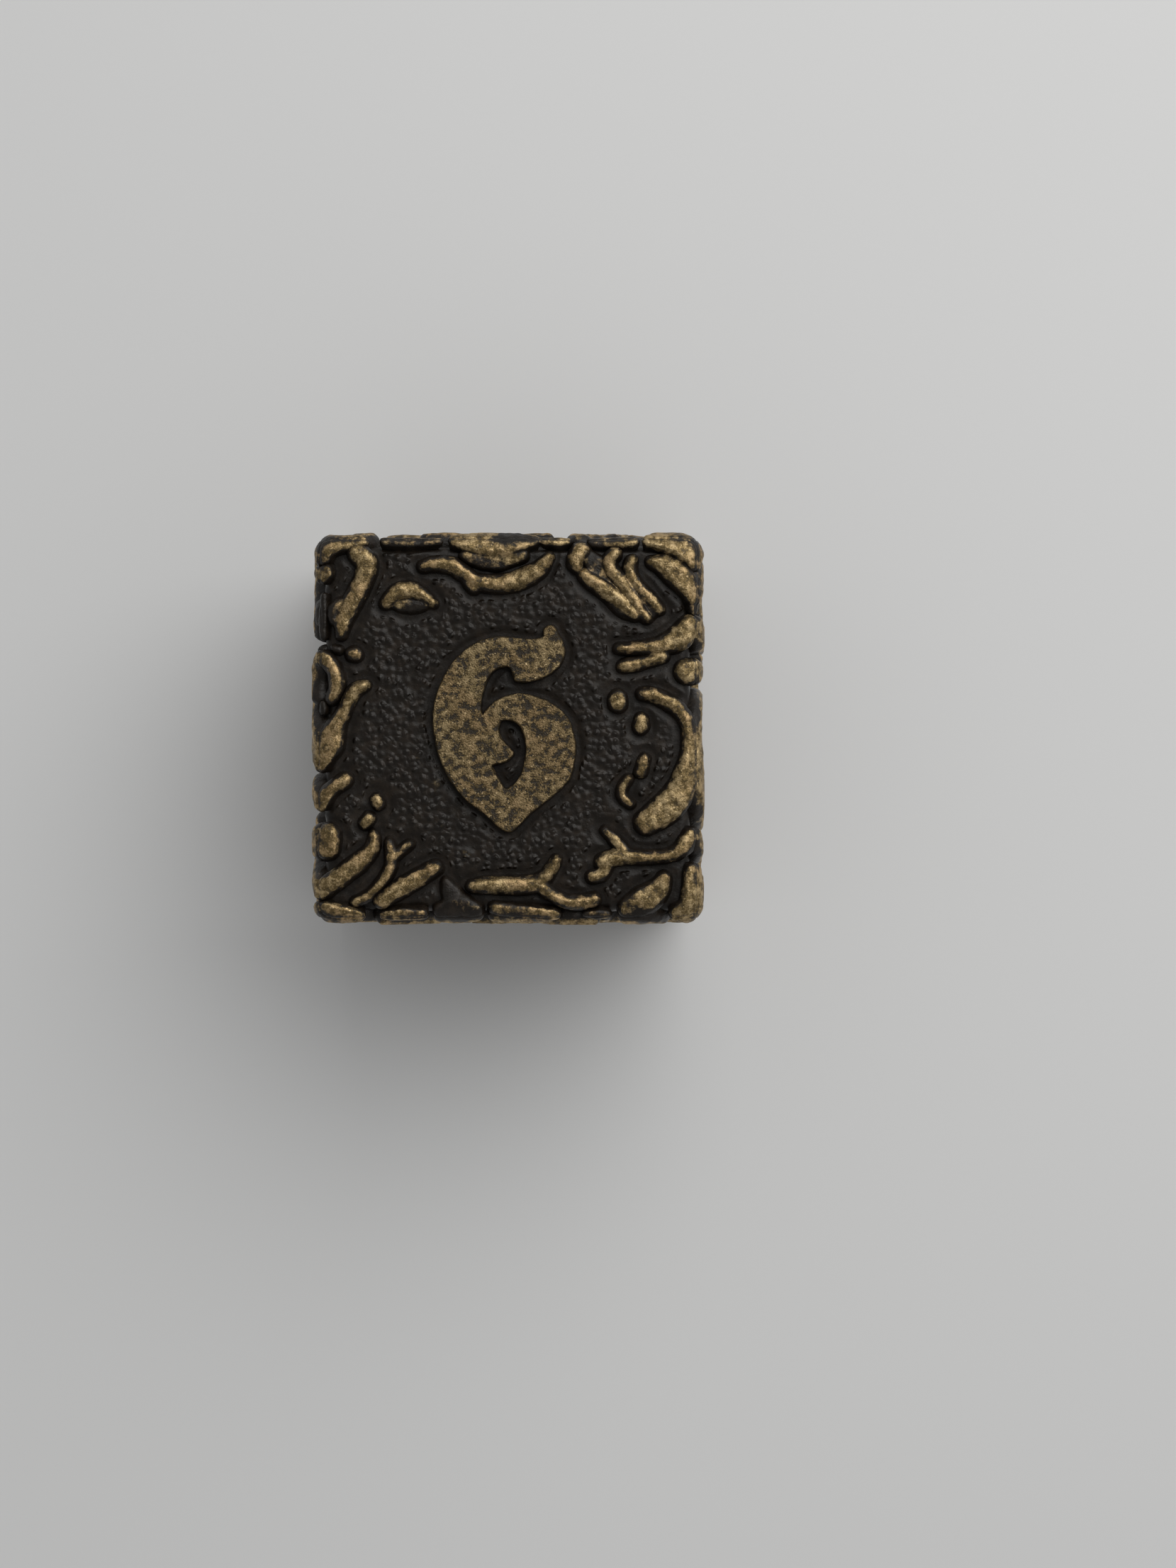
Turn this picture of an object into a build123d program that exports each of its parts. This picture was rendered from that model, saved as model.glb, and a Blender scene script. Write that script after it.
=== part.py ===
from build123d import *

import os
from math import atan2, cos, hypot, sin

# A cast metal six-sided die: raised blackletter numerals inside borders of scrollwork.
# The origin is the die's centre. +Z points up through the six, +Y to the top of that numeral.
# All lengths are in millimetres.

# Driving dimensions
SIZE = 16.0  # across opposite faces, over the flat tops of the numerals
RELIEF = 0.56  # how far the numerals stand above the ground
EDGE_R = 0.45  # radius of the ground's edges
CREST_DROP = 0.02  # the tallest scrollwork stops this far below the numerals' tops
FLANK_LEAN = 0.12  # a scroll's flanks spread by this share of their height
BEVELS = ((0.26, 0.0), (0.1, 0.07), (0.0, 0.17))  # below the crest, and in from the flank
REACH = 2.2  # how deep a scroll's outline is carried, so that it runs over the edge

HALF = SIZE / 2
GROUND = HALF - RELIEF

# Each face's outward normal and its right, which together say where its numeral stands.
FACES = {
    6: (Vector(0, 0, 1), Vector(1, 0, 0)),
    1: (Vector(0, 0, -1), Vector(1, 0, 0)),
    2: (Vector(0, -1, 0), Vector(1, 0, 0)),
    5: (Vector(0, 1, 0), Vector(-1, 0, 0)),
    3: (Vector(-1, 0, 0), Vector(0, -1, 0)),
    4: (Vector(1, 0, 0), Vector(0, 1, 0)),
}

# The border is drawn once, as seen on the six. The side faces carry it mirrored, so that the
# scrolls run on over the edges they share with the six.
MIRRORS = {
    6: None,
    1: None,
    2: Plane.XZ,
    5: Plane.YZ,
    3: Plane(origin=(0, 0, 0), z_dir=(1, 1, 0)),
    4: Plane(origin=(0, 0, 0), z_dir=(1, -1, 0)),
}

# The scrolls of the border's four sides. Each is its height as a share of the tallest, then
# (right, up, width) along its middle.
BORDER = {
    (0, 1): [
        (1.0, [(-7.5, 6.95, 0.6), (-7.28, 7.36, 0.8), (-6.75, 7.6, 0.8), (-6.0, 7.68, 0.6)]),
        (0.9, [(-5.0, 7.64, 0.3), (-3.9, 7.62, 0.38), (-2.8, 7.66, 0.3)]),
        (1.0, [(-2.1, 7.7, 0.56), (-0.5, 7.42, 0.96), (1.0, 7.7, 0.56)]),
        (0.6, [(-1.7, 6.98, 0.5), (-0.6, 6.74, 0.72), (0.6, 7.02, 0.5)]),
        (1.0, [(-4.95, 5.05, 0.36), (-4.55, 5.46, 0.54), (-4.0, 5.6, 0.6), (-3.45, 5.42, 0.44),
               (-3.0, 5.05, 0.24)]),
        (0.5, [(-4.7, 5.05, 0.4), (-4.0, 4.98, 0.72), (-3.3, 5.0, 0.4)]),
        (1.0, [(-3.45, 6.55, 0.32), (-2.9, 6.68, 0.5), (-2.3, 6.6, 0.54), (-1.75, 6.25, 0.48),
               (-1.3, 5.95, 0.5), (-0.7, 5.86, 0.58), (0.0, 5.88, 0.62), (0.7, 6.1, 0.64),
               (1.3, 6.45, 0.54), (1.68, 6.95, 0.28)]),
        (0.9, [(-1.6, 5.9, 0.34), (-1.38, 5.62, 0.34)]),
        (0.9, [(1.45, 7.64, 0.3), (1.95, 7.62, 0.36), (2.4, 7.64, 0.3)]),
        (0.9, [(3.4, 7.64, 0.3), (4.0, 7.62, 0.4), (4.6, 7.62, 0.42), (5.15, 7.64, 0.32)]),
    ],
    (1, 0): [
        (1.0, [(5.75, 7.66, 0.5), (6.4, 7.58, 0.78), (7.05, 7.4, 1.1), (7.45, 7.0, 0.9),
               (7.62, 6.7, 0.6)]),
        (1.0, [(5.8, 6.76, 0.34), (6.3, 6.62, 0.7), (6.85, 6.24, 0.96), (7.3, 5.78, 0.86),
               (7.55, 5.35, 0.6)]),
        (1.0, [(2.98, 7.22, 0.66), (2.72, 6.75, 0.54), (2.82, 6.45, 0.32)]),
        (1.0, [(3.1, 6.2, 0.44), (3.6, 5.86, 0.58), (4.15, 5.48, 0.6), (4.7, 5.0, 0.54),
               (5.15, 4.58, 0.36)]),
        (1.0, [(4.36, 7.08, 0.44), (4.1, 6.78, 0.46), (4.2, 6.38, 0.5), (4.65, 5.86, 0.54),
               (5.05, 5.3, 0.5), (5.38, 4.78, 0.42), (5.66, 4.45, 0.32)]),
        (0.95, [(5.02, 6.8, 0.4), (4.95, 6.35, 0.44), (5.2, 5.85, 0.46), (5.68, 5.32, 0.46),
                (6.15, 4.8, 0.36)]),
        (0.55, [(3.3, 6.9, 0.7), (4.0, 6.1, 1.3), (4.9, 5.2, 1.5), (5.7, 4.8, 0.9)]),
        (0.8, [(7.6, 4.98, 0.36), (7.62, 4.8, 0.36)]),
        (1.0, [(4.5, 3.24, 0.3), (5.4, 3.24, 0.46), (6.2, 3.36, 0.6), (6.9, 3.66, 0.88),
               (7.35, 4.08, 0.86)]),
        (0.9, [(4.65, 2.52, 0.4), (5.5, 2.68, 0.44), (6.3, 2.92, 0.36)]),
        (0.95, [(7.2, 2.3, 0.8), (7.55, 2.3, 0.9)]),
        (0.8, [(4.45, 1.22, 0.66), (4.45, 1.02, 0.66)]),
        (0.85, [(5.42, 0.36, 0.4), (5.4, 0.08, 0.56)]),
        (1.0, [(5.45, 1.4, 0.38), (6.0, 1.32, 0.46), (6.6, 1.02, 0.5), (7.08, 0.6, 0.5),
               (7.36, 0.1, 0.54), (7.46, -0.5, 0.64), (7.42, -1.2, 0.76), (7.3, -1.8, 0.9),
               (7.05, -2.45, 1.06), (6.65, -3.02, 1.14), (6.12, -3.48, 1.06), (5.6, -3.82, 0.86)]),
        (0.9, [(5.56, -1.22, 0.34), (5.38, -1.76, 0.42)]),
        (0.9, [(4.9, -2.05, 0.28), (4.66, -2.4, 0.34), (4.66, -2.75, 0.34), (4.98, -3.06, 0.28)]),
    ],
    (0, -1): [
        (1.0, [(3.85, -5.4, 0.54), (4.6, -5.18, 0.54), (5.5, -5.22, 0.46), (6.3, -5.2, 0.42),
               (6.85, -5.04, 0.46), (7.22, -4.7, 0.62), (7.45, -4.35, 0.54)]),
        (0.75, [(3.95, -4.15, 0.32), (4.3, -4.48, 0.42), (4.75, -4.95, 0.4)]),
        (0.9, [(4.0, -5.6, 0.44), (3.8, -5.92, 0.46), (3.4, -6.02, 0.4)]),
        (1.0, [(6.35, -6.05, 0.44), (6.15, -6.5, 0.76), (5.6, -6.95, 1.1), (5.0, -7.32, 0.9)]),
        (1.0, [(7.55, -5.82, 0.6), (7.56, -6.35, 0.74), (7.5, -6.9, 0.8), (7.3, -7.3, 0.7),
               (6.9, -7.55, 0.6)]),
        (1.0, [(-1.45, -6.42, 0.34), (-0.9, -6.34, 0.52), (0.0, -6.38, 0.6), (1.0, -6.32, 0.56),
               (1.5, -6.05, 0.46), (1.8, -5.65, 0.38), (1.98, -5.3, 0.28)]),
        (1.0, [(1.3, -6.35, 0.44), (1.75, -6.72, 0.4), (2.25, -6.98, 0.42), (2.9, -7.06, 0.44),
               (3.5, -6.92, 0.4)]),
        (0.9, [(-0.5, -7.3, 0.46), (0.3, -7.42, 0.5), (1.1, -7.54, 0.5), (1.9, -7.6, 0.4)]),
        (0.8, [(3.2, -7.64, 0.3), (3.65, -7.62, 0.38), (4.05, -7.64, 0.32)]),
        (0.9, [(-1.4, -7.42, 0.7), (-2.0, -7.3, 1.16), (-2.6, -7.42, 0.7)]),
        (0.6, [(-2.5, -6.25, 0.44), (-2.25, -6.75, 0.84), (-2.0, -7.3, 1.1)]),
        (1.0, [(-2.92, -5.65, 0.5), (-3.55, -6.02, 0.62), (-4.3, -6.48, 0.62), (-5.1, -7.0, 0.5)]),
        (0.9, [(-5.0, -7.64, 0.32), (-4.25, -7.6, 0.46), (-3.45, -7.62, 0.38)]),
    ],
    (-1, 0): [
        (1.0, [(-6.05, 7.12, 0.7), (-5.72, 6.7, 0.72), (-5.78, 6.15, 0.66), (-6.1, 5.5, 0.66),
               (-6.42, 4.88, 0.68), (-6.68, 4.3, 0.6), (-6.75, 3.8, 0.34)]),
        (0.9, [(-6.75, 5.08, 0.36), (-7.06, 4.74, 0.44), (-7.06, 4.38, 0.36)]),
        (1.0, [(-7.6, 6.2, 0.6), (-7.38, 6.3, 0.56)]),
        (0.8, [(-7.62, 5.35, 0.3), (-7.64, 4.8, 0.4), (-7.64, 4.2, 0.4), (-7.62, 3.75, 0.3)]),
        (0.9, [(-6.32, 3.0, 0.46), (-6.16, 3.0, 0.48)]),
        (0.6, [(-7.05, 3.22, 0.3), (-6.82, 3.16, 0.36)]),
        (1.0, [(-7.7, 2.84, 0.5), (-7.36, 2.76, 0.5), (-7.04, 2.42, 0.52), (-6.92, 1.8, 0.5),
               (-7.12, 1.2, 0.4)]),
        (0.7, [(-7.6, 0.95, 0.3), (-7.6, 0.7, 0.3)]),
        (1.0, [(-5.75, 1.75, 0.3), (-6.18, 1.52, 0.42), (-6.45, 1.1, 0.42), (-6.7, 0.55, 0.5),
               (-6.98, 0.05, 0.74), (-7.26, -0.6, 1.14), (-7.5, -1.2, 0.8), (-7.6, -1.55, 0.4)]),
        (1.0, [(-6.6, -2.1, 0.5), (-7.02, -2.4, 0.5), (-7.38, -2.74, 0.56), (-7.66, -3.0, 0.6)]),
        (1.0, [(-7.22, -4.36, 0.86), (-7.34, -4.82, 0.92)]),
        (0.9, [(-5.3, -2.88, 0.4), (-5.22, -3.05, 0.42)]),
        (0.9, [(-5.62, -3.66, 0.42), (-5.78, -3.84, 0.46)]),
        (1.0, [(-5.42, -4.3, 0.32), (-5.42, -4.65, 0.36), (-5.62, -5.05, 0.5), (-6.05, -5.45, 0.64),
               (-6.55, -5.85, 0.68), (-7.1, -6.25, 0.68), (-7.6, -6.55, 0.7)]),
        (0.85, [(-4.8, -4.6, 0.28), (-4.72, -5.0, 0.38), (-4.75, -5.6, 0.38), (-5.1, -6.2, 0.34),
                (-5.6, -6.75, 0.34), (-6.15, -7.05, 0.38)]),
        (0.8, [(-3.95, -4.7, 0.28), (-4.3, -4.95, 0.32), (-4.65, -5.25, 0.32)]),
        (1.0, [(-7.4, -7.4, 0.66), (-6.8, -7.56, 0.72), (-6.1, -7.66, 0.56)]),
    ],
}

# The six is outlined: runs of points, smooth within a run and cornered between runs.
SIX_OUTSIDE = [
    [(1.5, 3.72), (1.56, 4.08), (1.76, 4.15), (2.0, 3.88), (2.28, 3.2), (2.2, 2.7), (1.85, 2.3),
     (1.3, 2.0), (0.7, 1.87), (0.3, 1.92)],
    [(0.3, 1.92), (0.22, 2.25), (0.06, 2.48), (-0.3, 2.48), (-0.7, 2.2), (-0.95, 1.7),
     (-1.08, 1.1), (-1.05, 0.43)],
    [(-1.05, 0.43), (-0.7, 0.9), (-0.2, 1.22), (0.5, 1.38), (1.2, 1.25), (1.9, 0.9), (2.4, 0.4),
     (2.65, -0.2), (2.72, -0.9), (2.65, -1.6), (2.46, -2.1)],
    [(2.46, -2.1), (1.8, -2.75), (1.12, -3.27), (0.42, -3.95), (0.12, -4.18), (-0.3, -4.05),
     (-1.0, -3.4), (-1.6, -2.95), (-2.3, -2.1), (-2.7, -1.3), (-2.95, -0.3), (-3.0, 0.65),
     (-2.85, 1.4), (-2.5, 2.2), (-1.9, 3.0), (-1.1, 3.5), (-0.3, 3.68), (0.5, 3.62),
     (1.1, 3.57), (1.5, 3.72)],
]
SIX_COUNTER = [
    [(-0.28, 0.3), (0.08, 0.34), (0.45, 0.15), (0.64, -0.2), (0.75, -0.7), (0.72, -1.3),
     (0.6, -1.8), (0.35, -2.2), (-0.12, -2.5)],
    [(-0.12, -2.5), (-0.42, -2.0), (-0.7, -1.48)],
    [(-0.7, -1.48), (-0.2, -1.38), (0.08, -1.22), (0.22, -0.98)],
    [(0.22, -0.98), (0.0, -0.75), (-0.28, -0.42), (-0.36, -0.05), (-0.28, 0.3)],
]

# The other numerals are written with a broad pen: (right, up, width) along each stroke.
WRITTEN = {
    1: [
        [(0.15, 3.5, 1.2), (0.1, 2.2, 1.7), (0.05, 0.0, 1.75), (0.1, -2.2, 1.7), (0.1, -3.3, 1.3)],
        [(-2.0, 2.1, 0.3), (-1.3, 2.5, 0.8), (-0.5, 3.1, 1.2), (0.2, 3.7, 0.7)],
        [(-1.9, -3.7, 0.3), (-0.9, -3.45, 0.9), (0.2, -3.6, 1.1), (1.2, -3.4, 0.9), (2.1, -3.0, 0.3)],
    ],
    2: [
        [(-2.1, 1.7, 0.3), (-1.9, 2.7, 0.9), (-1.0, 3.4, 1.1), (0.2, 3.4, 1.4), (1.2, 2.6, 1.9),
         (1.25, 1.3, 2.0), (0.4, 0.0, 1.5), (-0.9, -1.5, 1.0), (-1.9, -2.8, 0.8)],
        [(-2.5, -3.7, 0.3), (-1.6, -3.1, 0.9), (-0.5, -3.0, 1.3), (0.6, -3.4, 1.4),
         (1.5, -3.3, 1.1), (2.5, -2.3, 0.3)],
    ],
    3: [
        [(-2.1, 2.3, 0.3), (-1.5, 3.1, 0.9), (-0.4, 3.5, 1.1), (0.8, 3.2, 1.5), (1.2, 2.3, 1.7),
         (0.7, 1.3, 1.1), (-0.5, 0.55, 0.4)],
        [(-0.5, 0.6, 0.4), (0.6, 0.6, 1.1), (1.5, -0.2, 1.8), (1.6, -1.6, 2.0), (0.8, -2.9, 1.6),
         (-0.5, -3.5, 1.2), (-1.6, -3.2, 0.9), (-2.3, -2.3, 0.3)],
    ],
    4: [
        [(0.9, 3.9, 0.3), (0.2, 3.1, 1.0), (-0.8, 1.7, 1.2), (-1.8, 0.3, 1.1), (-2.4, -0.7, 0.8)],
        [(-2.9, -1.1, 0.5), (-1.6, -1.0, 1.1), (0.0, -1.2, 1.2), (1.6, -1.0, 1.1), (2.7, -0.6, 0.3)],
        [(1.1, 1.9, 0.4), (0.9, 0.9, 1.4), (0.85, -0.8, 1.7), (0.9, -2.6, 1.6), (0.5, -3.9, 0.4)],
    ],
    5: [
        [(2.2, 3.9, 0.3), (1.2, 3.3, 1.0), (0.0, 3.2, 1.2), (-1.2, 3.3, 0.9)],
        [(-1.2, 3.3, 0.9), (-1.5, 2.2, 0.9), (-1.5, 1.1, 0.7)],
        [(-1.6, 0.8, 0.4), (-0.6, 1.15, 0.9), (0.6, 0.9, 1.4), (1.5, 0.0, 1.9), (1.6, -1.4, 2.0),
         (0.9, -2.7, 1.6), (-0.4, -3.5, 1.2), (-1.6, -3.2, 0.9), (-2.3, -2.3, 0.3)],
    ],
}


def between(points, i, t):
    """The place a share t of the way from points[i] to the next, on a curve through them all."""
    a = points[max(i - 1, 0)]
    b = points[i]
    c = points[i + 1]
    d = points[min(i + 2, len(points) - 1)]
    return [
        0.5 * (2 * q + (r - p) * t + (2 * p - 5 * q + 4 * r - s) * t**2 + (3 * q - p - 3 * r + s) * t**3)
        for p, q, r, s in zip(a, b, c, d)
    ]


def stroke(points, wider=0.0):
    """The outline of a stroke with round ends, each side moved out by wider."""
    line = [between(points, i, k / 4) for i in range(len(points) - 1) for k in range(4)]
    line.append(list(points[-1]))
    sides = {1: [], -1: []}
    for k, (u, v, width) in enumerate(line):
        before = line[max(k - 1, 0)]
        after = line[min(k + 1, len(line) - 1)]
        along = atan2(after[1] - before[1], after[0] - before[0])
        out = max(width / 2 + wider, 0.02)
        for hand in sides:
            p = (u - hand * out * sin(along), v + hand * out * cos(along))
            folded = any(
                hypot(p[0] - c[0], p[1] - c[1]) < 0.93 * max(c[2] / 2 + wider, 0.02) for c in line
            )
            if k in (0, len(line) - 1) or not folded:
                sides[hand].append(p)
    ends = []
    for k, near in ((0, 1), (-1, -2)):
        u, v, width = line[k]
        out = max(width / 2 + wider, 0.02)
        along = atan2(v - line[near][1], u - line[near][0])
        ends.append((u + out * cos(along), v + out * sin(along)))
    left = Spline(*sides[1])
    right = Spline(*sides[-1])
    start = ThreePointArc(sides[-1][0], ends[0], sides[1][0])
    end = ThreePointArc(sides[1][-1], ends[1], sides[-1][-1])
    return make_face([left, end, right, start])


def outlined(runs):
    """A face inside smooth runs of points that meet at corners."""
    return make_face([Spline(*run) for run in runs])


def rounded_cube(half, radius):
    cube = Box(2 * half, 2 * half, 2 * half)
    return fillet(cube.edges(), radius)


def scroll(height, points, room):
    """One stroke of the border as a bevelled ridge, kept to the room between ground and crest."""
    crest = GROUND + height * (RELIEF - CREST_DROP)
    levels = [(crest - REACH, FLANK_LEAN * REACH)]
    levels += [(crest - below, -inset) for below, inset in BEVELS]
    sections = [Pos(0, 0, z) * stroke(points, wider) for z, wider in levels]
    return loft(sections, ruled=True) & room[height]


def placed(shape, face):
    normal, right = FACES[face]
    return Plane(origin=(0, 0, 0), x_dir=right, z_dir=normal).location * shape


core = rounded_cube(GROUND, EDGE_R)

# A face's share of the relief lies inside a pyramid that meets the neighbours' on the diagonals.
pyramid = loft([Pos(0, 0, 0.01) * Rectangle(0.02, 0.02), Pos(0, 0, 9) * Rectangle(18, 18)], ruled=True)
room = {}
for height in {height for scrolls in BORDER.values() for height, _ in scrolls}:
    rise = height * (RELIEF - CREST_DROP)
    room[height] = (rounded_cube(GROUND + rise, EDGE_R + rise) - core) & pyramid

# Each side's scrolls are one solid where they touch, and clear of the sides before it.
sides = {}
for side, scrolls in BORDER.items():
    ridges = [scroll(height, points, room) for height, points in scrolls]
    sides[side] = Part() + ridges
    for other in list(sides)[:-1]:
        sides[side] -= sides[other]

numerals = {6: outlined(SIX_OUTSIDE) - outlined(SIX_COUNTER)}
for number, strokes in WRITTEN.items():
    numerals[number] = Sketch() + [stroke(points) for points in strokes]

parts = {"core_casting": core}
for face, (normal, right) in FACES.items():
    numeral = extrude(Pos(0, 0, GROUND) * numerals[face], RELIEF)
    parts[f"numeral_{face}"] = placed(numeral, face)
    up = normal.cross(right)
    for side, ridges in sides.items():
        across = Vector(*side)
        mirror = MIRRORS[face]
        if mirror:
            ridges = ridges.mirror(mirror)
            across = across - mirror.z_dir * (2 * across.dot(mirror.z_dir))
        toward = right * across.X + up * across.Y
        neighbour = max(FACES, key=lambda number: FACES[number][0].dot(toward))
        parts[f"scroll_{face}_beside_{neighbour}"] = placed(ridges, face)

os.makedirs("parts", exist_ok=True)
for node, shape in parts.items():
    export_step(shape, f"parts/{node}.step")
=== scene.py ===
import math

import bmesh
import bpy
import numpy as np
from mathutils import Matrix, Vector, noise
from mathutils.bvhtree import BVHTree


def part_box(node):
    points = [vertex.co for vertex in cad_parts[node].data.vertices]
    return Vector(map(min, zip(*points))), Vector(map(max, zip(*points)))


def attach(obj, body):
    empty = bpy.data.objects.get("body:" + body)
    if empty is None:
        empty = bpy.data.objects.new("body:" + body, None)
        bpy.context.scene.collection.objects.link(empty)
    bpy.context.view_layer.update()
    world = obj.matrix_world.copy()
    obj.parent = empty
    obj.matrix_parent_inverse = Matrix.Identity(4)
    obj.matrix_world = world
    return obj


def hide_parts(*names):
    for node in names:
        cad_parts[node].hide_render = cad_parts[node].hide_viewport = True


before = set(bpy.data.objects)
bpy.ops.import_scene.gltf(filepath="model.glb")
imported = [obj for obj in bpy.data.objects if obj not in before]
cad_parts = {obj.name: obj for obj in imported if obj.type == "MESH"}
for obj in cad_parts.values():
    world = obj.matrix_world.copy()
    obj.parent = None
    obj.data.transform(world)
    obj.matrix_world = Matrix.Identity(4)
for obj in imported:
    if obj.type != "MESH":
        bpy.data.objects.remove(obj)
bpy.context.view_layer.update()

# Shapes are worked in millimetres and put into metres at the end.
MM = 0.001
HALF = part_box("numeral_6")[1][2] / MM
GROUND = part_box("core_casting")[1][2] / MM
EDGE_R = 0.45
FLAT = GROUND - EDGE_R
RELIEF = HALF - GROUND

# How the castings' feet are rooted: vertices below ROOT_REACH go down by up to ROOT_DEPTH.
ROOT_DEPTH = 0.44
ROOT_REACH = 0.34

NUMERALS = sorted(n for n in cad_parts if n.startswith("numeral_"))
SCROLLS = sorted(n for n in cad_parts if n.startswith("scroll_"))


# ---------------------------------------------------------------- shapes

def smoothstep(low, high, x):
    t = np.clip((x - low) / (high - low), 0.0, 1.0)
    return t * t * (3.0 - 2.0 * t)


def height_above_ground(points):
    """How far points stand outside the rounded cube of the ground, and the way out there."""
    out = np.sign(points) * np.maximum(np.abs(points) - FLAT, 0.0)
    length = np.linalg.norm(out, axis=1)
    return length - EDGE_R, out / np.maximum(length, 1e-6)[:, None]


def lumps(points, scale, seed):
    """Smooth noise from -1 to 1 at each point."""
    shift = Vector((seed * 3.7, seed * 1.9, seed * 5.3))
    return np.array([noise.noise(Vector(p) * scale + shift) for p in points])


def node_bmesh(node):
    bm = bmesh.new()
    bm.from_mesh(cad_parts[node].data)
    bmesh.ops.scale(bm, vec=(1 / MM,) * 3, verts=bm.verts)
    return bm


def read_points(mesh):
    points = np.empty(len(mesh.vertices) * 3)
    mesh.vertices.foreach_get("co", points)
    return points.reshape(-1, 3)


def write_points(mesh, points):
    mesh.vertices.foreach_set("co", points.ravel())
    mesh.update()


def new_piece(name, mesh, nodes, material):
    mesh.materials.clear()
    mesh.materials.append(material)
    mesh.shade_smooth()
    piece = bpy.data.objects.new(name, mesh)
    bpy.context.scene.collection.objects.link(piece)
    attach(piece, "root")
    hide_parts(*nodes)
    return piece


def cast_mesh(node, voxel, rounds):
    """The node's solid with its corners melted, as a casting's are."""
    bm = node_bmesh(node)
    mesh = bpy.data.meshes.new(node + "_work")
    bm.to_mesh(mesh)
    bm.free()
    work = bpy.data.objects.new(node + "_work", mesh)
    bpy.context.scene.collection.objects.link(work)
    remesh = work.modifiers.new("remesh", "REMESH")
    remesh.mode = "VOXEL"
    remesh.voxel_size = voxel
    smooth = work.modifiers.new("smooth", "SMOOTH")
    smooth.factor = 0.5
    smooth.iterations = rounds
    graph = bpy.context.evaluated_depsgraph_get()
    cast = bpy.data.meshes.new_from_object(work.evaluated_get(graph))
    bpy.data.objects.remove(work)
    bpy.data.meshes.remove(mesh)
    return cast


def ornament(node, material, voxel, rounds, swell, flare, dip, seed):
    """A raised feature: melted, swollen back to size, roughened, and spread at its foot."""
    mesh = cast_mesh(node, voxel, rounds)
    points = read_points(mesh)
    normals = np.empty(len(mesh.vertices) * 3)
    mesh.vertices.foreach_get("normal", normals)
    normals = normals.reshape(-1, 3)
    height, out = height_above_ground(points)
    sideways = normals - out * (normals * out).sum(axis=1)[:, None]
    foot = 1.0 - smoothstep(0.0, 0.5, height)
    uneven = 0.5 + 0.5 * lumps(points, 0.4, 2.0)
    points = points + normals * swell + sideways * (flare * foot)[:, None]
    points = points - out * (dip * uneven * smoothstep(0.1, 0.5, height))[:, None]
    rough = 0.035 * lumps(points, 1.3, seed) + 0.022 * lumps(points, 4.0, seed)
    points = points + normals * rough[:, None]
    height, out = height_above_ground(points)
    sink = ROOT_DEPTH * (1.0 - smoothstep(0.0, ROOT_REACH, height))
    points = points - out * sink[:, None]
    height, out = height_above_ground(points)
    over = np.maximum(height - RELIEF + 0.004, 0.0)
    points = points - out * over[:, None]
    points = np.clip(points, -HALF, HALF)
    write_points(mesh, points * MM)
    mesh.name = node + "_cast"
    return new_piece(node + "_cast", mesh, [node], material)


def cube_lattice(pitch):
    """A rounded cube's surface as even quads: points, outward normals and faces."""
    reach = FLAT + EDGE_R * math.pi / 4
    count = int(round(2 * reach / pitch))
    steps = np.arange(count + 1)
    a, b = np.meshgrid(steps, steps, indexing="ij")
    keys = []
    corners = []
    for axis in range(3):
        for end in (0, count):
            ijk = np.empty((count + 1, count + 1, 3), dtype=np.int64)
            ijk[..., axis] = end
            ijk[..., (axis + 1) % 3] = a
            ijk[..., (axis + 2) % 3] = b
            key = (ijk[..., 0] * (count + 1) + ijk[..., 1]) * (count + 1) + ijk[..., 2]
            quad = np.stack([key[:-1, :-1], key[1:, :-1], key[1:, 1:], key[:-1, 1:]], axis=-1)
            if end == 0:
                quad = quad[..., ::-1]
            keys.append(key.ravel())
            corners.append(quad.reshape(-1, 4))
    unique = np.unique(np.concatenate(keys))
    faces = np.searchsorted(unique, np.concatenate(corners))
    side = count + 1
    ijk = np.stack([unique // side**2, unique // side % side, unique % side], axis=1)
    along = ijk * (2 * reach / count) - reach
    inner = np.clip(along, -FLAT, FLAT)
    turn = np.clip((along - inner) / EDGE_R, -math.pi / 4, math.pi / 4)
    normals = np.tan(turn)
    normals /= np.abs(normals).max(axis=1)[:, None]
    normals /= np.linalg.norm(normals, axis=1)[:, None]
    return inner + EDGE_R * normals, normals, faces


def scatter(first, second, seed):
    """A number from 0 to 1 for each pair, with no pattern between neighbours."""
    mix = np.sin(first * 127.1 + second * 311.7 + seed * 74.7) * 43758.5453
    return mix - np.floor(mix)


def punched_dots(points, normals, pitch):
    """Uneven domes in rough rows, as a stippling punch leaves them."""
    axis = np.abs(normals).argmax(axis=1)
    index = np.arange(len(points))
    side = axis * 2 + (points[index, axis] > 0)
    u = points[index, (axis + 1) % 3] / 1.12 + 0.16 * lumps(points, 0.8, 6.0)
    v = points[index, (axis + 2) % 3] * 1.12 + 0.16 * lumps(points, 0.8, 7.0)
    row = np.floor(v / pitch)
    best = np.zeros(len(points))
    for dv in (-1, 0, 1):
        cell_v = row + dv
        column = np.floor(u / pitch - 0.5 * (cell_v % 2))
        for du in (-1, 0, 1):
            cell_u = column + du
            centre_u = cell_u + 0.5 + 0.5 * (cell_v % 2) + 0.75 * (scatter(cell_u, cell_v, side) - 0.5)
            centre_v = cell_v + 0.5 + 0.75 * (scatter(cell_u, cell_v, side + 11) - 0.5)
            size = scatter(cell_u, cell_v, side + 23)
            away = np.hypot(u / pitch - centre_u, v / pitch - centre_v) / (0.36 + 0.2 * size)
            dome = np.where(away < 1.0, 1.0 - away**2, 0.0) * (0.35 + 0.65 * size)
            best = np.maximum(best, dome)
    return best


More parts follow.
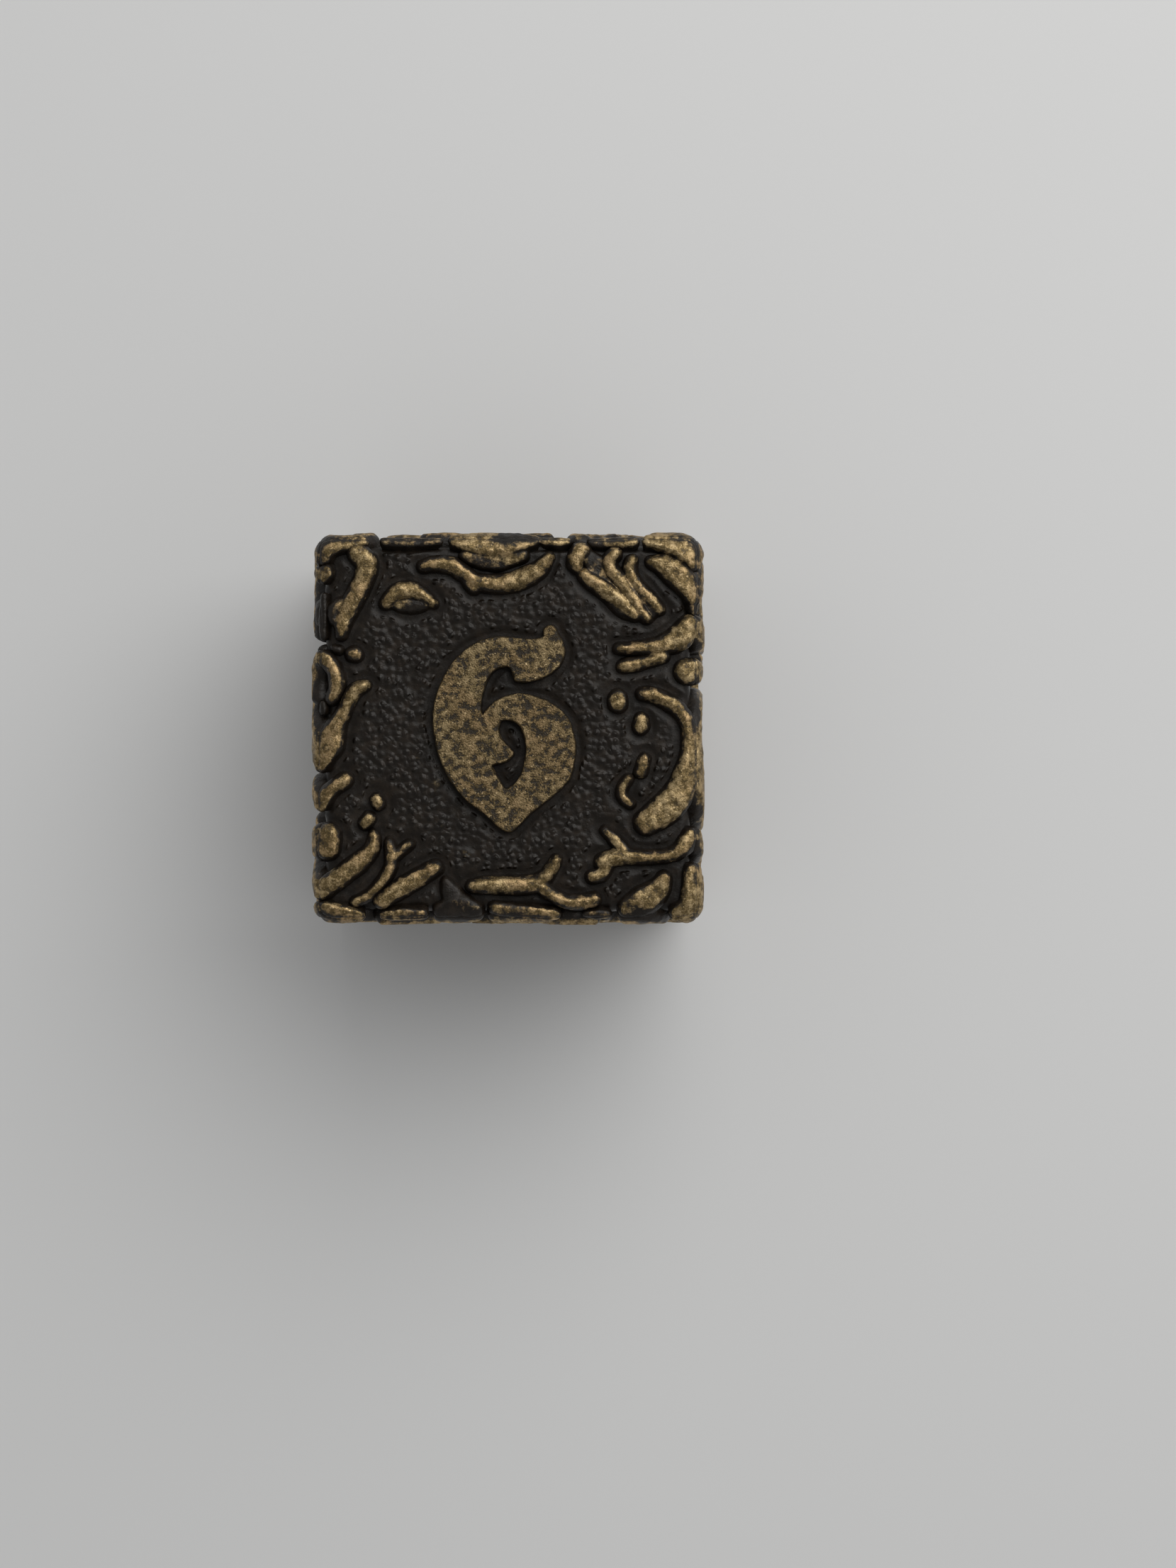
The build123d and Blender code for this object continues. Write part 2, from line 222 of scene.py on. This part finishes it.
def ground_mesh(pitch):
    """The core's skin: a stippled field, with a smooth channel and a low lip round every feature."""
    points, normals, faces = cube_lattice(pitch)
    tree_points = []
    tree_faces = []
    for node in NUMERALS + SCROLLS:
        bm = node_bmesh(node)
        start = len(tree_points)
        tree_points.extend(v.co.copy() for v in bm.verts)
        bm.verts.index_update()
        tree_faces.extend([start + v.index for v in f.verts] for f in bm.faces)
        bm.free()
    tree = BVHTree.FromPolygons(tree_points, tree_faces)
    near = np.array([tree.find_nearest(Vector(p))[3] for p in points])
    wander = lumps(points, 1.1, 4.0)
    lip = 0.42 + 0.1 * wander
    channel = 1.0 - smoothstep(lip * 0.5, lip, near)
    ridge = np.exp(-(((near - lip - 0.05) / 0.06) ** 2)) * smoothstep(-0.1, 0.35, wander)
    stipple = smoothstep(lip - 0.04, lip + 0.3, near)
    dots = punched_dots(points, normals, 0.31)
    face_share = smoothstep(0.86, 0.995, np.abs(normals).max(axis=1))
    rise = 0.07 * dots * stipple * face_share * (0.75 + 0.5 * lumps(points, 0.35, 3.0))
    rise = rise + 0.014 * ridge - 0.045 * channel
    rise = rise + 0.03 * lumps(points, 0.4, 9.0) + 0.014 * lumps(points, 1.9, 2.0)
    points = points + normals * rise[:, None]
    mesh = bpy.data.meshes.new("core_cast")
    mesh.from_pydata((points * MM).tolist(), [], faces.tolist())
    mesh.update()
    return mesh


# ---------------------------------------------------------------- materials

class Nodes:
    """Short calls for building a material's node tree."""

    def __init__(self, name):
        self.material = bpy.data.materials.new(name)
        self.material.use_nodes = True
        self.tree = self.material.node_tree
        self.shader = self.tree.nodes["Principled BSDF"]

    def put(self, socket, value):
        if isinstance(value, bpy.types.NodeSocket):
            self.tree.links.new(value, socket)
        else:
            socket.default_value = value

    def math(self, operation, *values):
        node = self.tree.nodes.new("ShaderNodeMath")
        node.operation = operation
        for socket, value in zip(node.inputs, values):
            self.put(socket, value)
        return node.outputs[0]

    def vector(self, operation, *values):
        node = self.tree.nodes.new("ShaderNodeVectorMath")
        node.operation = operation
        for socket, value in zip(node.inputs, values):
            self.put(socket, value)
        return node.outputs["Value" if operation == "LENGTH" else "Vector"]

    def scaled(self, vector, amount):
        node = self.tree.nodes.new("ShaderNodeVectorMath")
        node.operation = "SCALE"
        self.put(node.inputs[0], vector)
        node.inputs["Scale"].default_value = amount
        return node.outputs["Vector"]

    def ramp(self, value, low, high, out_low=0.0, out_high=1.0):
        node = self.tree.nodes.new("ShaderNodeMapRange")
        node.interpolation_type = "SMOOTHSTEP"
        self.put(node.inputs["Value"], value)
        node.inputs["From Min"].default_value = low
        node.inputs["From Max"].default_value = high
        node.inputs["To Min"].default_value = out_low
        node.inputs["To Max"].default_value = out_high
        return node.outputs["Result"]

    def noise(self, vector, scale, detail=4.0, rough=0.55):
        node = self.tree.nodes.new("ShaderNodeTexNoise")
        self.put(node.inputs["Vector"], vector)
        node.inputs["Scale"].default_value = scale
        node.inputs["Detail"].default_value = detail
        node.inputs["Roughness"].default_value = rough
        return node.outputs["Fac"]

    def noise_colour(self, vector, scale):
        node = self.tree.nodes.new("ShaderNodeTexNoise")
        self.put(node.inputs["Vector"], vector)
        node.inputs["Scale"].default_value = scale
        return node.outputs["Color"]

    def cells(self, vector, scale):
        node = self.tree.nodes.new("ShaderNodeTexVoronoi")
        self.put(node.inputs["Vector"], vector)
        node.inputs["Scale"].default_value = scale
        return node.outputs["Distance"]

    def mix(self, share, first, second):
        node = self.tree.nodes.new("ShaderNodeMix")
        node.data_type = "RGBA"
        self.put(node.inputs["Factor"], share)
        self.put(node.inputs["A"], first)
        self.put(node.inputs["B"], second)
        return node.outputs["Result"]

    def bump(self, height, strength, distance):
        node = self.tree.nodes.new("ShaderNodeBump")
        node.inputs["Strength"].default_value = strength
        node.inputs["Distance"].default_value = distance
        self.put(node.inputs["Height"], height)
        return node.outputs["Normal"]


def colour(r, g, b):
    return (r, g, b, 1.0)


def tint(tone, r, g, b):
    return (tone * r, tone * g, tone * b, 1.0)


# Places on the six's border that kept their patina, and how far round them it reaches.
DULL_PLACES = [
    ((-2.0, -7.3, 7.8), 1.5),
    ((5.5, -7.2, 7.8), 1.3),
    ((-8.0, 4.9, 7.6), 1.3),
    ((0.2, 7.9, 7.5), 1.2),
    ((-7.9, 1.2, 7.6), 1.0),
]


def antique_brass(name, worn_unshaded_from, worn_unshaded_to, ragged, pits, pit_level, depth, tone, beads):
    """Brass plate under dark patina.

    The patina is rubbed off between worn_unshaded_from and worn_unshaded_to, which are heights in
    millimetres with a share added for level surfaces; ragged is how far noise moves them. The dark
    patina left low on the stroke flanks is partly real patina and partly painted occlusion shade.
    pits is how dark the pits are and pit_level how common. depth is the relief in millimetres of grain and
    beads.
    """
    n = Nodes(name)
    place = n.tree.nodes.new("ShaderNodeTexCoord").outputs["Object"]
    place = n.scaled(place, 1 / MM)
    size = n.vector("ABSOLUTE", place)
    beyond = n.vector("MAXIMUM", n.vector("SUBTRACT", size, (FLAT, FLAT, FLAT)), (0.0, 0.0, 0.0))
    height = n.math("SUBTRACT", n.vector("LENGTH", beyond), EDGE_R)
    parts = n.tree.nodes.new("ShaderNodeSeparateXYZ")
    n.put(parts.inputs[0], size)
    flat = n.math("MAXIMUM", parts.outputs[0], parts.outputs[1])
    flat = n.math("SUBTRACT", n.math("MAXIMUM", flat, parts.outputs[2]), GROUND)
    # Height and level share decide the wear; the dark left low on stroke flanks is real patina and partly
    # painted occlusion shade.
    rub_or_shade_height = n.math("MULTIPLY_ADD", height, 0.45, n.math("MULTIPLY", flat, 0.55))

    facing = n.tree.nodes.new("ShaderNodeSeparateXYZ")
    n.put(facing.inputs[0], n.vector("ABSOLUTE", n.tree.nodes.new("ShaderNodeTexCoord").outputs["Normal"]))
    level = n.math("MAXIMUM", facing.outputs[0], facing.outputs[1])
    level = n.math("MAXIMUM", level, facing.outputs[2])

    broad = n.noise(place, 0.5, 2.0)
    patchy = n.noise(place, 1.9, 4.0, 0.6)
    grit = n.noise(place, 3.1, 4.0, 0.62)
    fine = n.noise(place, 14.0, 3.0, 0.6)
    edge = n.math("MULTIPLY_ADD", n.math("SUBTRACT", patchy, 0.5), ragged, rub_or_shade_height)
    edge = n.math("MULTIPLY_ADD", n.math("SUBTRACT", grit, 0.5), ragged, edge)
    edge = n.math("MULTIPLY_ADD", n.math("SUBTRACT", broad, 0.5), ragged * 1.2, edge)
    # Surfaces facing straight out are rubbed more; the darker sloped flanks are partly painted shade.
    edge = n.math("MULTIPLY_ADD", n.ramp(level, 0.5, 0.93), 0.16, edge)
    for spot, reach in DULL_PLACES:
        away = n.vector("LENGTH", n.vector("SUBTRACT", place, spot))
        edge = n.math("SUBTRACT", edge, n.ramp(away, 0.3 * reach, reach, 0.17, 0.0))
    # Below this ramp the patina colour shows, on the low flanks partly as painted occlusion shade.
    worn_unshaded = n.ramp(edge, worn_unshaded_from, worn_unshaded_to)

    grain = n.math("MULTIPLY_ADD", fine, 0.3, n.math("MULTIPLY", grit, 0.7))
    red_brass = tint(tone, 0.46, 0.318, 0.165)
    pale_brass = tint(tone, 0.49, 0.365, 0.195)
    light = n.mix(n.ramp(broad, 0.38, 0.62), red_brass, pale_brass)
    metal = n.mix(n.ramp(grain, 0.44, 0.62), tint(tone, 0.16, 0.112, 0.049), light)
    speck = n.ramp(n.noise(place, 7.5, 3.0, 0.6), 0.58, 0.70)
    metal = n.mix(n.math("MULTIPLY", speck, 0.7), metal, colour(0.62, 0.47, 0.27))
    pitted = n.math("MULTIPLY", n.ramp(grain, pit_level - 0.03, pit_level + 0.03, 1.0, 0.0), pits)
    worn_unshaded = n.math("MULTIPLY", worn_unshaded, n.math("SUBTRACT", 1.0, pitted))

    dusty = n.ramp(n.noise(place, 2.1, 6.0, 0.65), 0.42, 0.72)
    patina = n.mix(dusty, colour(0.0085, 0.0058, 0.0036), colour(0.021, 0.0145, 0.0095))
    n.put(n.shader.inputs["Base Color"], n.mix(worn_unshaded, patina, metal))
    n.put(n.shader.inputs["Metallic"], n.ramp(worn_unshaded, 0.0, 1.0, 0.1, 0.92))
    satin = n.ramp(worn_unshaded, 0.0, 1.0, 0.28, 0.34)
    n.put(n.shader.inputs["Roughness"], n.math("MULTIPLY_ADD", fine, 0.2, satin))
    n.shader.inputs["Specular IOR Level"].default_value = 0.3
    shaken = n.vector("ADD", place, n.scaled(n.noise_colour(place, 2.6), 0.14))
    bead = n.ramp(n.cells(shaken, 3.3), 0.0, 0.56, 1.0, 0.0)
    bead = n.math("MULTIPLY", bead, n.ramp(flat, -0.03, 0.0, 0.0, beads))
    n.put(n.shader.inputs["Normal"], n.bump(n.math("ADD", grain, bead), 1.0, depth * MM))
    return n.material


def floor_material():
    n = Nodes("pale_floor")
    place = n.tree.nodes.new("ShaderNodeTexCoord").outputs["Object"]
    cloud = n.noise(place, 9.0, 3.0)
    n.put(n.shader.inputs["Base Color"], n.mix(cloud, colour(0.70, 0.70, 0.705), colour(0.74, 0.74, 0.74)))
    n.shader.inputs["Roughness"].default_value = 0.55
    n.put(n.shader.inputs["Normal"], n.bump(n.noise(place, 1400.0, 3.0), 0.05, 0.00002))
    return n.material


# ---------------------------------------------------------------- pieces

ground = antique_brass(
    "patina_ground", worn_unshaded_from=0.24, worn_unshaded_to=0.33, ragged=0.15, pits=0.5, pit_level=0.46,
    depth=0.02, tone=0.6, beads=3.5,
)
scroll_metal = antique_brass(
    "rubbed_scrolls", worn_unshaded_from=0.45, worn_unshaded_to=0.59, ragged=0.34, pits=0.6, pit_level=0.42,
    depth=0.055, tone=0.95, beads=0.0,
)
numeral_metal = antique_brass(
    "rubbed_numerals", worn_unshaded_from=0.40, worn_unshaded_to=0.52, ragged=0.12, pits=0.85, pit_level=0.47,
    depth=0.16, tone=0.55, beads=0.0,
)

new_piece("core_cast", ground_mesh(0.07), ["core_casting"], ground)
for number, node in enumerate(NUMERALS):
    ornament(
        node, numeral_metal, voxel=0.05, rounds=3, swell=0.01, flare=0.08, dip=0.03,
        seed=11.0 + number,
    )
for number, node in enumerate(SCROLLS):
    ornament(
        node, scroll_metal, voxel=0.055, rounds=16, swell=0.08, flare=0.07, dip=0.16,
        seed=31.0 + number,
    )


# ---------------------------------------------------------------- floor, lights and camera

floor_bm = bmesh.new()
bmesh.ops.create_grid(floor_bm, x_segments=24, y_segments=24, size=0.9)
floor_mesh = bpy.data.meshes.new("floor")
floor_bm.to_mesh(floor_mesh)
floor_bm.free()
floor_mesh.materials.append(floor_material())
floor = bpy.data.objects.new("floor", floor_mesh)
floor.location = (0.0, 0.0, -HALF * MM)
bpy.context.scene.collection.objects.link(floor)


def shine(light, name, place, target, power, tint_rgb):
    """Hang the light at a place and turn it to its target."""
    light.energy = power
    light.color = tint_rgb
    lamp = bpy.data.objects.new(name, light)
    lamp.location = place
    lamp.rotation_euler = (Vector(target) - Vector(place)).to_track_quat("-Z", "Y").to_euler()
    bpy.context.scene.collection.objects.link(lamp)


softbox = bpy.data.lights.new("softbox", "AREA")
softbox.shape = "DISK"
softbox.size = 0.26
shine(softbox, "softbox", (0.095, 0.125, 0.18), (0.01, 0.0, 0.0), 0.37, (1.0, 0.995, 0.975))


def map_range(tree, value, source, target):
    node = tree.nodes.new("ShaderNodeMapRange")
    node.inputs["From Min"].default_value = source[0]
    node.inputs["From Max"].default_value = source[1]
    node.inputs["To Min"].default_value = target[0]
    node.inputs["To Max"].default_value = target[1]
    tree.links.new(value, node.inputs["Value"])
    return node.outputs["Result"]


def studio_sky():
    """A pale sky, darker straight up and brighter to the upper right."""
    world = bpy.data.worlds.new("studio")
    world.use_nodes = True
    tree = world.node_tree
    way = tree.nodes.new("ShaderNodeTexCoord")
    split = tree.nodes.new("ShaderNodeSeparateXYZ")
    tree.links.new(way.outputs["Generated"], split.inputs[0])
    overhead = map_range(tree, split.outputs[2], (0.78, 0.98), (0.48, 0.10))
    sideways = tree.nodes.new("ShaderNodeMath")
    tree.links.new(split.outputs[0], sideways.inputs[0])
    tree.links.new(split.outputs[1], sideways.inputs[1])
    lean = map_range(tree, sideways.outputs[0], (-1.0, 1.0), (0.75, 1.3))
    sky = tree.nodes.new("ShaderNodeMath")
    sky.operation = "MULTIPLY"
    tree.links.new(overhead, sky.inputs[0])
    tree.links.new(lean, sky.inputs[1])
    background = tree.nodes["Background"]
    tree.links.new(sky.outputs[0], background.inputs["Strength"])
    background.inputs["Color"].default_value = (0.95, 0.955, 0.95, 1.0)
    return world


world = studio_sky()
bpy.context.scene.world = world
bpy.context.scene.view_settings.view_transform = "Standard"

# The camera looks straight down, with the die left of and above the middle of the view.
VIEW_WIDTH = 0.0475
ABOVE = 0.13
camera_data = bpy.data.cameras.new("camera")
camera_data.sensor_width = 36.0
camera_data.lens = 36.0 * ABOVE / (VIEW_WIDTH * 2212 / 1659)
camera_data.clip_start = 0.005
camera_data.clip_end = 10.0
camera = bpy.data.objects.new("camera", camera_data)
camera.location = (0.00325, -0.00226, HALF * MM + ABOVE)
camera.rotation_euler = (0.0, 0.0, 0.0)
bpy.context.scene.collection.objects.link(camera)
bpy.context.scene.camera = camera
